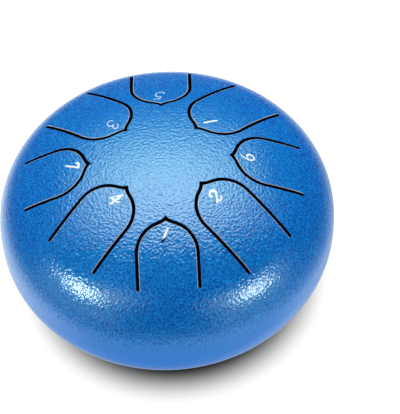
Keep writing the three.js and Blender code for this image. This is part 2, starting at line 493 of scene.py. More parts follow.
@dataclass(frozen=True)
class StudioFloor:
    """A pale light table that glows whiter than white round the drum and lights it from below, with a
    painted shadow of the drum: its glow is dark near the drum's middle.

    Away from its middle its glow goes from the painted shadow's dark to white over painted_shadow_reach, to
    lit over lit_reach and to pale over pale_reach.
    """

    # The paper is nearly black, so that lamps barely lighten the painted shadow.
    paper: Colour = (0.02, 0.02, 0.02)
    dark: Colour = (0.0, 0.0, 0.0)
    white: Colour = (1.0, 1.0, 1.0)
    lit: Colour = (2.0, 1.85, 2.1)
    pale: Colour = (0.85, 0.85, 0.86)
    # middle and oval place the painted shadow and narrow it across.
    middle: Triple = (0.0026, 0.0, 0.0)
    oval: Triple = (1.026, 1.0, 1.0)
    painted_shadow_reach: Pair = (0.089, 0.124)
    lit_reach: Pair = (0.118, 0.2)
    pale_reach: Pair = (0.35, 1.2)
    matt: float = 0.85

    def make(self) -> bpy.types.Material:
        """Mixes the table's finish, by the distance from the drum's middle.

        Returns:
            The table as a material.
        """
        sheet = NodeSheet.of_material("light_table_painted_shadow")
        place = sheet.vectors("MULTIPLY", sheet.place(), self.oval)
        away = sheet.vectors("DISTANCE", place, self.middle, "Value")
        glow = sheet.mix(sheet.step(away, *self.pale_reach), self.lit, self.pale)
        glow = sheet.mix(sheet.step(away, *self.lit_reach), self.white, glow)
        shader = sheet.shade(
            Base_Color=self.paper,
            Roughness=self.matt,
            Specular_IOR_Level=0.0,
            # Painted shadow: the emission is dark where the drum stands and rises to white over
            # painted_shadow_reach.
            Emission_Color=sheet.mix(sheet.step(away, *self.painted_shadow_reach), self.dark, glow),
            Emission_Strength=1.0,
        )
        return sheet.close(shader)


@dataclass(frozen=True)
class Station:
    """A point of a turned outline, with the outward and upward parts of its surface's normal."""

    radius: float
    level: float
    lean: float
    rise: float

    @property
    def place(self) -> Pair:
        """Its radius and level."""
        return self.radius, self.level


def line(start: Pair, end: Pair, right: bool = False) -> list[Station]:
    """A straight stretch of a turned outline.

    Args:
        start: radius and level where it starts.
        end: radius and level where it ends.
        right: whether the surface faces the right of the way there, and not the left.

    Returns:
        Its two stations.
    """
    along, up = end[0] - start[0], end[1] - start[1]
    length = math.copysign(math.hypot(along, up), -1.0 if right else 1.0)
    return [Station(*point, -up / length, along / length) for point in (start, end)]


def arc(
    centre: Pair, radius: float, start: float, end: float, steps: int, hollow: bool = False
) -> list[Station]:
    """A round stretch of a turned outline.

    Args:
        centre: radius and level of the arc's centre.
        radius: the arc's radius.
        start: the angle where it starts, from outward towards up, in degrees.
        end: the angle where it ends.
        steps: how many straight steps it is turned in.
        hollow: whether the surface faces the centre.

    Returns:
        Its stations.
    """
    facing = -1.0 if hollow else 1.0
    found = []
    for angle in np.radians(np.linspace(start, end, steps + 1)):
        out, up = math.cos(angle), math.sin(angle)
        found.append(Station(centre[0] + radius * out, centre[1] + radius * up, facing * out, facing * up))
    return found


def full_turn(segments: int) -> np.ndarray:
    """The angles of a full turn in even steps, in radians."""
    return np.linspace(0, 2 * math.pi, segments, endpoint=False)


class Draft:
    """Points and faces of a mesh in the making, with the shading normal that each corner needs."""

    def __init__(self) -> None:
        """Starts with nothing."""
        self.points: list[Sequence[float]] = []
        self.faces: list[tuple[int, ...]] = []
        self.normals: list[Sequence[float]] = []
        self.finish_index: list[int] = []

    def point(self, place: Sequence[float]) -> int:
        """Adds a point and gives its number."""
        self.points.append(tuple(place))
        return len(self.points) - 1

    def face(self, corners: Sequence[int], normals: Sequence[Sequence[float]], finish: int = 0) -> None:
        """Adds a face that shows the side its normals point to.

        Args:
            corners: its points, in either order.
            normals: the shading normal at each of them.
            finish: the place of its material in the piece's list.
        """
        a, b, c = (Vector(self.points[corners[k]]) for k in (0, 1, 2))
        order = slice(None) if (b - a).cross(c - b).dot(Vector(normals[1])) > 0 else slice(None, None, -1)
        self.faces.append(tuple(corners[order]))
        self.normals.extend(normals[order])
        self.finish_index.append(finish)

    def turn(
        self,
        spans: Sequence[Sequence[Station]],
        segments: int,
        axis: Pair = (0.0, 0.0),
        rings: tuple[list[int], list[int]] | None = None,
        coats: Sequence[Coat] | None = None,
    ) -> None:
        """Turns an outline about an upright axis.

        Args:
            spans: the outline's stretches, each smooth in itself, end to end.
            segments: how many faces go round.
            axis: where the axis stands.
            rings: the points that the outline's first and last rings already have, or None where it
                closes on itself.
            coats: each stretch's coat, or None where the piece has one finish.
        """
        ways = [(math.cos(t), math.sin(t)) for t in full_turn(segments)]
        steps = [(s, *pair) for s, span in enumerate(spans) for pair in zip(span, span[1:])]
        below = rings[0] if rings else self._ring(spans[0][0], ways, axis)
        last = rings[1] if rings else below
        for number, (s, lower, upper) in enumerate(steps, 1):
            above = last if number == len(steps) else self._ring(upper, ways, axis)
            finish = coats[s].value if coats else 0
            for i in range(segments):
                j = (i + 1) % segments
                sides = ((lower, i), (lower, j), (upper, j), (upper, i))
                normals = [(p.lean * ways[n][0], p.lean * ways[n][1], p.rise) for p, n in sides]
                self.face([below[i], below[j], above[j], above[i]], normals, finish)
            below = above

    def _ring(self, station: Station, ways: Sequence[Pair], axis: Pair) -> list[int]:
        """Adds the ring of points that a station makes, one each way from the axis."""
        reach = station.radius
        return [self.point((axis[0] + reach * x, axis[1] + reach * y, station.level)) for x, y in ways]

    def make(self, name: str, *finishes: bpy.types.Material) -> bpy.types.Object:
        """The mesh as an object in the scene.

        Args:
            name: its name.
            finishes: its materials, in the order that its faces number them.

        Returns:
            The object.
        """
        mesh = bpy.data.meshes.new(name)
        mesh.from_pydata(self.points, [], self.faces, shade_flat=False)
        mesh.polygons.foreach_set("material_index", self.finish_index)
        mesh.normals_split_custom_set([Vector(n).normalized() for n in self.normals])
        for finish in finishes:
            mesh.materials.append(finish)
        piece = bpy.data.objects.new(name, mesh)
        bpy.context.scene.collection.objects.link(piece)
        return piece


def mount(piece: bpy.types.Object, body: str, slot: FinishSlot, *nodes: str) -> None:
    """Attaches a piece to its body and hides the CAD nodes that it stands for.

    Args:
        piece: the dressed piece.
        body: the CAD body that carries it.
        slot: the slot of its finish; not used.
        nodes: the nodes that it replaces.
    """
    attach(piece, body)
    if nodes:
        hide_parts(*nodes)
    LOG.info("%s rides on %s, %d faces", piece.name, body, len(piece.data.polygons))


@dataclass(frozen=True)
class Section:
    """The drum's turned section: a crown, a shoulder, a butt seam, a corner and a flat base."""

    radius: float
    top: float
    seam: float
    base: float
    sheet: float = 2 * MM
    crown_radius: float = 196 * MM
    shoulder_radius: float = 50 * MM
    corner_radius: float = 57 * MM
    hole_radius: float = 35 * MM
    hole_edge: float = 0.6 * MM

    @classmethod
    def from_frame(cls) -> "Section":
        """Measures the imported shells.

        Returns:
            The section that they have.
        """
        upper_low, upper_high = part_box("upper_shell")
        lower_low, lower_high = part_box("lower_shell")
        return cls(upper_high.x, upper_high.z, (upper_low.z + lower_high.z) / 2, lower_low.z)

    @property
    def crown_level(self) -> float:
        """The level of the crown's centre."""
        return self.top - self.crown_radius

    @property
    def shoulder_centre(self) -> Pair:
        """Where the shoulder meets the crown without a crease.

        Returns:
            The radius and level of the shoulder's centre.
        """
        reach = self.crown_radius - self.shoulder_radius
        out = self.radius - self.shoulder_radius
        return out, self.crown_level + math.sqrt(reach**2 - out**2)

    @property
    def corner_centre(self) -> Pair:
        """The radius and level of the base corner's centre."""
        return self.radius - self.corner_radius, self.base + self.corner_radius

    def _on_crown(self, radius: np.ndarray, inset: float) -> np.ndarray:
        """Which distances from the axis lie on the crown and not on the shoulder, at a depth."""
        reach = self.crown_radius - self.shoulder_radius
        return radius <= (self.crown_radius - inset) * self.shoulder_centre[0] / reach

    def lean(self, radius: np.ndarray, inset: float = 0.0) -> np.ndarray:
        """How far the upper shell's normal leans outward.

        Args:
            radius: distances from the axis.
            inset: depth under the outer face.

        Returns:
            The normal's outward part at each of them.
        """
        crown = radius / (self.crown_radius - inset)
        shoulder = (radius - self.shoulder_centre[0]) / (self.shoulder_radius - inset)
        return np.where(self._on_crown(radius, inset), crown, shoulder)

    def level(self, radius: np.ndarray, inset: float = 0.0) -> np.ndarray:
        """The upper shell's level.

        Args:
            radius: distances from the axis.
            inset: depth under the outer face.

        Returns:
            The level at each of them.
        """
        rise = np.sqrt(1.0 - self.lean(radius, inset) ** 2)
        crown = self.crown_level + (self.crown_radius - inset) * rise
        shoulder = self.shoulder_centre[1] + (self.shoulder_radius - inset) * rise
        return np.where(self._on_crown(radius, inset), crown, shoulder)

    def normals(self, plan: np.ndarray, inset: float = 0.0) -> np.ndarray:
        """The upper shell's outward normals.

        Args:
            plan: points of the plan.
            inset: depth under the outer face.

        Returns:
            The normal at each of them.
        """
        radius = np.hypot(*plan.T)
        lean = self.lean(radius, inset)
        ways = plan / np.maximum(radius, TINY)[:, None]
        return np.column_stack((ways * lean[:, None], np.sqrt(1.0 - lean**2)))


@dataclass(frozen=True)
class SlotCut:
    """The cut that frees a tongue: an even slot round a round end that rises to a small point.

    The point starts point_half from the middle line and is drawn in to point_neck, and the slot's outer
    edge runs on there by the nib.
    """

    tongue_width: float = 44 * MM
    slot_width: float = 2.4 * MM
    nib: float = 1.4 * MM
    point_rise: float = 2 * MM
    point_half: float = 7 * MM
    point_neck: float = 2 * MM
    shell_lip: float = 0.25 * MM
    tongue_lip: float = 0.45 * MM
    lip_turns: tuple[float, ...] = (90.0, 60.0, 30.0, 0.0)
    side_step: float = 2.4 * MM
    least_side: int = 3
    arc_steps: int = 22
    point_steps: int = 8


@dataclass(frozen=True)
class Stroke:
    """One pull of the pen: a smooth line through points, with its widest stroke."""

    points: tuple[Pair, ...]
    width: float
    ink: Ink = Ink.WHITE


@dataclass(frozen=True)
class Numeral:
    """A slanted pen-drawn number; its strokes are in millimetres, read from outside the drum."""

    name: str
    strokes: tuple[Stroke, ...]


@dataclass(frozen=True)
class Tongue:
    """One tongue of the crown; place 0 is at the front, and the rest follow counter-clockwise."""

    node: str
    place: int
    length: float
    setback: float
    numeral: Numeral
    front: float = -90.0
    pitch: float = 45.0

    @property
    def outward(self) -> np.ndarray:
        """The way it points in plan, away from the axis."""
        azimuth = math.radians(self.front + self.pitch * self.place)
        return np.array((math.cos(azimuth), math.sin(azimuth)))

    def root(self, section: Section) -> float:
        """How far from the axis it leaves the shell."""
        return section.radius - self.setback

    def to_plan(self, local: np.ndarray) -> np.ndarray:
        """Points along and across the tongue, as points of the plan."""
        out = self.outward
        return local[:, :1] * out + local[:, 1:] * np.array((-out[1], out[0]))

    def edge(self, section: Section, cut: SlotCut, offset: float, nib: float = 0.0) -> np.ndarray:
        """One edge of the slot, from root to root round the tip.

        Args:
            section: the drum's section.
            cut: the slot's shape.
            offset: distance outward from the slot's middle.
            nib: how much farther the edge runs at the tip's point.

        Returns:
            Points along and across the tongue.
        """
        half = cut.tongue_width / 2 + offset
        root = self.root(section)
        end = root - self.length - offset
        tip = end - nib
        centre = end + cut.point_rise + half
        point_turn = math.asin(cut.point_half / half)
        shoulder = centre - half * math.cos(point_turn)
        neck = shoulder - (cut.point_half - cut.point_neck) * math.tan(point_turn)
        side_points = max(cut.least_side, round((root - centre) / cut.side_step) + 1)
        side = np.linspace(root, centre, side_points)
        turn = np.linspace(math.pi / 2, math.pi - point_turn, cut.arc_steps)[1:]
        # A quadratic curve takes the round end, from its shoulder by the neck, to the tip.
        share = np.linspace(0.0, 1.0, cut.point_steps)[1:]
        rise = shoulder * (1 - share) ** 2 + 2 * neck * share * (1 - share) + tip * share**2
        spread = cut.point_half * (1 - share) ** 2 + 2 * cut.point_neck * share * (1 - share)
        along = np.concatenate((side, centre + half * np.cos(turn), rise))
        across = np.concatenate((np.full(len(side), half), half * np.sin(turn), spread))
        return np.column_stack((np.append(along, along[-2::-1]), np.append(across, -across[-2::-1])))


def inside(polygon: np.ndarray, points: np.ndarray) -> np.ndarray:
    """Tests points by the even-odd rule.

    Args:
        polygon: its corners in order.
        points: the points to test.

    Returns:
        Whether each of them lies in the polygon.
    """
    x, y = points[:, :1], points[:, 1:]
    x0, y0 = polygon.T
    x1, y1 = np.roll(polygon, -1, axis=0).T
    spans = (y0 > y) != (y1 > y)
    with np.errstate(divide="ignore", invalid="ignore"):
        reach = x0 + (y - y0) * (x1 - x0) / (y1 - y0)
    return (spans & (x < reach)).sum(axis=1) % 2 == 1


@dataclass(frozen=True)
class SlotPlan:
    """One slot's wall in plan, its lips, its ways into the metal, and where its tongue's edge starts."""

    wall: np.ndarray
    lips: np.ndarray
    ways: np.ndarray
    miters: np.ndarray
    tongue_start: int

    @classmethod
    def of(cls, tongue: Tongue, section: Section, cut: SlotCut) -> "SlotPlan":
        """Lays out the slot round a tongue.

        Args:
            tongue: the tongue.
            section: the drum's section.
            cut: the slot's shape.

        Returns:
            The slot.
        """
        outer = tongue.edge(section, cut, cut.slot_width / 2, cut.nib)
        inner = tongue.edge(section, cut, -cut.slot_width / 2)
        wall = tongue.to_plan(np.concatenate((outer, inner[::-1])))
        lips = np.repeat((cut.shell_lip, cut.tongue_lip), (len(outer), len(inner)))
        following = np.roll(wall, -1, axis=0)
        area = np.sum(wall[:, 0] * following[:, 1] - wall[:, 1] * following[:, 0])
        step = (following - wall) * math.copysign(1.0, area)
        facing = np.column_stack((step[:, 1], -step[:, 0])) / np.hypot(*step.T)[:, None]
        # A miter reaches farther at a corner, so that a lip keeps its width along both edges.
        both = facing + np.roll(facing, 1, axis=0)
        length = np.hypot(*both.T)[:, None]
        return cls(wall, lips, both / length, 2 * both / length**2, len(outer))

    def ring(self, share: float, beyond: float = 0.0) -> np.ndarray:
        """The line in the metal at a share of the lip's width from the wall, and a distance beyond that."""
        return self.wall + (share * self.lips + beyond)[:, None] * self.miters


class CrownPlan:
    """The crown's sheet in plan: its points, the falls and turns of its slot lips, and its lines."""

    FILL_HULL: int = 0
    MERGE_MM: float = 1e-4

    def __init__(self) -> None:
        """Starts with nothing."""
        self.points: list[Sequence[float]] = []
        self.falls: list[float] = []
        self.turns: list[float] = []
        self.ways: list[Sequence[float]] = []
        self.edges: list[tuple[int, int]] = []

    def add(
        self,
        points: np.ndarray,
        falls: np.ndarray | float = 0.0,
        turn: float = 0.0,
        ways: np.ndarray | None = None,
    ) -> list[int]:
        """Adds points.

        Args:
            points: where they are in plan.
            falls: how far they lie under the sheet's face.
            turn: how far their normal turns towards the slot, in radians.
            ways: the way to the slot at each, or None where there is no slot.

        Returns:
            Their numbers.
        """
        first = len(self.points)
        self.points.extend(points)
        self.falls.extend(np.broadcast_to(falls, len(points)))
        self.turns.extend([turn] * len(points))
        self.ways.extend(np.zeros_like(points) if ways is None else ways)
        return list(range(first, len(self.points)))

    def chain(self, numbers: Sequence[int], closed: bool = False) -> None:
        """Keeps the line through some points in the mesh.

        Args:
            numbers: the points in order.
            closed: whether the line comes back to the first.
        """
        self.edges.extend(zip(numbers, numbers[1:]))
        if closed:
            self.edges.append((numbers[-1], numbers[0]))

    def triangles(self) -> np.ndarray:
        """Fills the plan with triangles that keep its lines.

        Returns:
            Rows of three point numbers.
        """
        flat = [Vector((x / MM, y / MM)) for x, y in self.points]
        filled = delaunay_2d_cdt(flat, self.edges, [], self.FILL_HULL, self.MERGE_MM, True)
        _, _, faces, sources, _, _ = filled
        return np.array([[sources[corner][0] for corner in face] for face in faces])


@dataclass(frozen=True)
class LiftedPlan:
    """Where the plan's points lie on the sheet's two faces, their normals there, and which are on a lip."""

    outer: np.ndarray
    inner: np.ndarray
    outer_normals: np.ndarray
    inner_normals: np.ndarray
    on_lip: np.ndarray

    @classmethod
    def of(cls, plan: CrownPlan, section: Section) -> "LiftedPlan":
        """Lifts a plan onto the drum's section.

        Args:
            plan: the crown's sheet in plan.
            section: the drum's section.

        Returns:
            The lifted plan.
        """
        flat, turns = np.array(plan.points), np.array(plan.turns)
        radius, tilt = np.hypot(*flat.T), turns[:, None]
        ways = np.column_stack((np.array(plan.ways), np.zeros(len(flat))))
        return cls(
            np.column_stack((flat, section.level(radius) - np.array(plan.falls))),
            np.column_stack((flat, section.level(radius, section.sheet))),
            np.cos(tilt) * section.normals(flat) + np.sin(tilt) * ways,
            -section.normals(flat, section.sheet),
            turns > 0.0,
        )


class SheetPart(Draft):
    """A part of the crown's sheet in the making: its upper and its under face, and the walls between."""

    def __init__(self, lifted: LiftedPlan, triangles: np.ndarray, lip: Coat) -> None:
        """Drafts the two faces.

        Args:
            lifted: the plan on the sheet's faces.
            triangles: this part of the plan.
            lip: the coat of its rounded lips.
        """
        super().__init__()
        used = np.unique(triangles).tolist()
        self.top = {p: self.point(lifted.outer[p]) for p in used}
        self.under = {p: self.point(lifted.inner[p]) for p in used}
        for triangle in triangles.tolist():
            # On a tongue the lip coat is the pale edge paint, a painted highlight along the lip.
            coat = lip if any(lifted.on_lip[triangle]) else Coat.PAINT
            self.face([self.top[p] for p in triangle], lifted.outer_normals[triangle], coat.value)
            under = [self.under[p] for p in triangle]
            # The under face takes the near-black primer: painted shade.
            self.face(under, lifted.inner_normals[triangle], Coat.PAINTED_SHADE.value)

    def wall(self, pair: Sequence[int], facing: np.ndarray) -> None:
        """Closes the part between its faces along one edge of the plan.

        Args:
            pair: the edge's two points.
            facing: the way that the wall faces in plan at each of them.
        """
        a, b = pair
        first, second = ((*way, 0.0) for way in facing)
        corners = [self.top[a], self.top[b], self.under[b], self.under[a]]
        # Walls take the near-black primer: painted shade.
        self.face(corners, [first, second, second, first], Coat.PAINTED_SHADE.value)

    def draw_back(self, points: Sequence[int], shift: np.ndarray) -> None:
        """Moves an edge of the part, which leaves room for a tongue's swing.

        Args:
            points: the edge's points.
            shift: how far it moves in plan.
        """
        for number in [numbers[p] for numbers in (self.top, self.under) for p in points]:
            x, y, level = self.points[number]
            self.points[number] = (x + shift[0], y + shift[1], level)


@dataclass
class Crown:
    """The upper shell and its tongues, cut from one sheet.

    The sheet is filled in plan out to the rim, on a grid of even triangles, and the shoulder is turned from
    there. Each triangle has an owner: the shell, an open slot, or a tongue, numbered from 1.
    """

    section: Section
    cut: SlotCut
    tongues: Sequence[Tongue]
    coats: dict[Coat, bpy.types.Material]
    segments: int = 240
    rim: float = 112 * MM
    grid: float = 2.8 * MM
    row_share: float = math.sqrt(0.75)
    clear: float = 0.9 * MM
    shoulder_steps: int = 16
    root_room: float = 0.04 * MM
    shell_owner: int = 0
    slot_owner: int = -1

    def build(self) -> None:
        """Meshes the sheet, parts it and mounts the shell and its tongues."""
        plan = CrownPlan()
        turn = full_turn(self.segments)
        rim = plan.add(self.rim * np.column_stack((np.cos(turn), np.sin(turn))))
        plan.chain(rim, closed=True)
        slots = [SlotPlan.of(tongue, self.section, self.cut) for tongue in self.tongues]
        rings = [self._add_slot(plan, slot) for slot in slots]
        partings = [self._add_parting(plan, slot, ring) for slot, ring in zip(slots, rings)]
        plan.add(self._grid(slots))
        triangles = plan.triangles()
        owners = self._owners(plan, triangles, slots, partings)
        lifted = LiftedPlan.of(plan, self.section)
        shell = SheetPart(lifted, triangles[owners == self.shell_owner], Coat.PAINT)
        skins = []
        for owner, (tongue, slot, ring, parting) in enumerate(zip(self.tongues, slots, rings, partings), 1):
            skin = SheetPart(lifted, triangles[owners == owner], Coat.EDGE)
            self._close_slot(shell, skin, slot, ring[0])
            self._part_root(shell, skin, tongue.outward, parting)
            skins.append(skin)
        self._turn_shoulder(shell, rim)
        coats = [self.coats[coat] for coat in Coat]
        piece = shell.make("crown_shell", *coats[: Coat.EDGE.value])
        mount(piece, DRUM_BODY, FinishSlot.PAINT, "upper_shell")
        for tongue, skin in zip(self.tongues, skins):
            mount(skin.make(f"{tongue.node}_skin", *coats), tongue.node, FinishSlot.PAINT, tongue.node)

    def _add_slot(self, plan: CrownPlan, slot: SlotPlan) -> list[list[int]]:
        """Adds a slot's wall and the rings of its rounded lip.

        Args:
            plan: the crown's sheet in plan.
            slot: the slot.

        Returns:
            The points of each ring, the wall's first.
        """
        rings = []
        for degrees in self.cut.lip_turns:
            turn = math.radians(degrees)
            falls = slot.lips * (1.0 - math.cos(turn))
            ring = plan.add(slot.ring(1.0 - math.sin(turn)), falls, turn, -slot.ways)
            plan.chain(ring, closed=True)
            rings.append(ring)
        return rings

    def _add_parting(self, plan: CrownPlan, slot: SlotPlan, rings: Sequence[Sequence[int]]) -> list[int]:
        """Adds the line across a tongue's root, from lip to lip.

        Args:
            plan: the crown's sheet in plan.
            slot: the tongue's slot.
            rings: the points of the slot's wall and lip.

        Returns:
            The line's points.
        """
        start, end = slot.tongue_start, len(slot.wall) - 1
        left, right = ([ring[corner] for ring in rings] for corner in (start, end))
        a, b = np.array(plan.points[left[-1]]), np.array(plan.points[right[-1]])
        count = round(float(np.hypot(*(b - a))) / self.grid)
        share = np.linspace(0.0, 1.0, count + 1)[1:-1, None]
        middle = plan.add(a * (1 - share) + b * share)
        parting = left + middle + right[::-1]
        plan.chain(parting)
        return parting

    def _grid(self, slots: Sequence[SlotPlan]) -> np.ndarray:
        """Fills the sheet with a grid of even triangles, clear of its slots and its rim.

        Args:
            slots: the slots to keep clear of.

        Returns:
            The grid's points in plan.
        """
        count = round(self.rim / self.grid) + 2
        across, up = np.meshgrid(np.arange(-count, count + 1), np.arange(-count, count + 1))
        x = (across + 0.5 * (up % 2)) * self.grid
        points = np.column_stack((x.ravel(), up.ravel() * self.grid * self.row_share))
        keep = np.hypot(*points.T) < self.rim - self.clear
        for slot in slots:
            keep &= ~inside(slot.ring(1.0, self.clear), points)
        return points[keep]

    def _owners(
        self,
        plan: CrownPlan,
        triangles: np.ndarray,
        slots: Sequence[SlotPlan],
        partings: Sequence[Sequence[int]],
    ) -> np.ndarray:
        """Says what each triangle belongs to.

        Args:
            plan: the crown's sheet in plan.
            triangles: the triangles that fill it.
            slots: the slots.
            partings: the points of the line across each tongue's root.

        Returns:
            The number of its owner.
        """
        points = np.array(plan.points)
        middles = points[triangles].mean(axis=1)
        owners = np.full(len(triangles), self.shell_owner)
        for number, (slot, parting) in enumerate(zip(slots, partings), 1):
            tongue = np.concatenate((slot.wall[slot.tongue_start :], points[parting[::-1]]))
            owners[inside(tongue, middles)] = number
            owners[inside(slot.wall, middles)] = self.slot_owner
        return owners

    @staticmethod
    def _close_slot(shell: SheetPart, skin: SheetPart, slot: SlotPlan, wall: Sequence[int]) -> None:
        """Closes the shell and a tongue along the slot between them.

        Args:
            shell: the shell's part of the sheet.
            skin: the tongue's part.
            slot: the slot.
            wall: the points of its wall.
        """
        for here, there in zip(range(len(wall)), np.roll(range(len(wall)), -1)):
            part = skin if min(here, there) >= slot.tongue_start else shell
            part.wall((wall[here], wall[there]), -slot.ways[[here, there]])

    def _part_root(
        self, shell: SheetPart, skin: SheetPart, out: np.ndarray, parting: Sequence[int]
    ) -> None:
        """Closes the shell and a tongue where they part, and draws the tongue back.

        Args:
            shell: the shell's part of the sheet.
            skin: the tongue's part.
            out: the way that the tongue points outward.
            parting: the points of the line across its root.
        """
        for pair in zip(parting, parting[1:]):
            skin.wall(pair, np.array((out, out)))
            shell.wall(pair, np.array((-out, -out)))
        skin.draw_back(parting, -self.root_room * out)

    def _turn_shoulder(self, shell: SheetPart, rim: Sequence[int]) -> None:
        """Turns the shoulder from the sheet's outer rim round the seam's edge to its inner rim.

        Args:
            shell: the shell's part of the sheet.
            rim: the plan's points along the sheet's rim.
        """
        centre, seam = self.section.shoulder_centre, self.section.seam
        radii = self.section.shoulder_radius, self.section.shoulder_radius - self.section.sheet
        start, end = (math.degrees(math.acos((self.rim - centre[0]) / radius)) for radius in radii)
        outer, inner = (centre[0] + radius for radius in radii)
        outside = [
            arc(centre, radii[0], start, 0.0, self.shoulder_steps),
            line((outer, centre[1]), (outer, seam)),
        ]
        within = [
            line((outer, seam), (inner, seam)),
            line((inner, seam), (inner, centre[1])),
            arc(centre, radii[1], 0.0, end, self.shoulder_steps, hollow=True),
        ]
        # The shoulder's inside takes the near-black primer: painted shade.
        coats = [Coat.PAINT] * len(outside) + [Coat.PAINTED_SHADE] * len(within)
        rings = [shell.top[p] for p in rim], [shell.under[p] for p in rim]
        shell.turn(outside + within, self.segments, rings=rings, coats=coats)


@dataclass
class LowerBowl:
    """The lower shell with its sound hole."""

    section: Section
    coats: dict[Coat, bpy.types.Material]
    segments: int = 240
    corner_steps: int = 26
    edge_steps: int = 4

    def build(self) -> None:
        """Turns the bowl from its seam down its side, through the sound hole and up inside, and mounts it."""
        s = self.section
        centre, floor = s.corner_centre, s.base + s.sheet
        outer, inner = s.radius, s.radius - s.sheet
        hole, edge = s.hole_radius, s.hole_edge
        seam = [line((inner, s.seam), (outer, s.seam))]
        outside = [
            line((outer, s.seam), (outer, centre[1])),
            arc(centre, s.corner_radius, 0.0, -90.0, self.corner_steps),
            line((centre[0], s.base), (hole + edge, s.base)),
            arc((hole + edge, s.base + edge), edge, 270.0, 180.0, self.edge_steps),
        ]
        within = [
            line((hole, s.base + edge), (hole, floor - edge)),
            arc((hole + edge, floor - edge), edge, 180.0, 90.0, self.edge_steps),
            line((hole + edge, floor), (centre[0], floor)),
            arc(centre, s.corner_radius - s.sheet, -90.0, 0.0, self.corner_steps, hollow=True),
            line((inner, centre[1]), (inner, s.seam)),
        ]
        # The seam's faces, the sound hole's wall and the inside take the near-black primer: painted shade.
        coats = [Coat.PAINTED_SHADE] * len(seam) + [Coat.PAINT] * len(outside) + [Coat.PAINTED_SHADE] * len(within)
        draft = Draft()
        draft.turn(seam + outside + within, self.segments, coats=coats)
        piece = draft.make("lower_bowl", self.coats[Coat.PAINT], self.coats[Coat.PAINTED_SHADE])
        mount(piece, DRUM_BODY, FinishSlot.PAINT, "lower_shell")


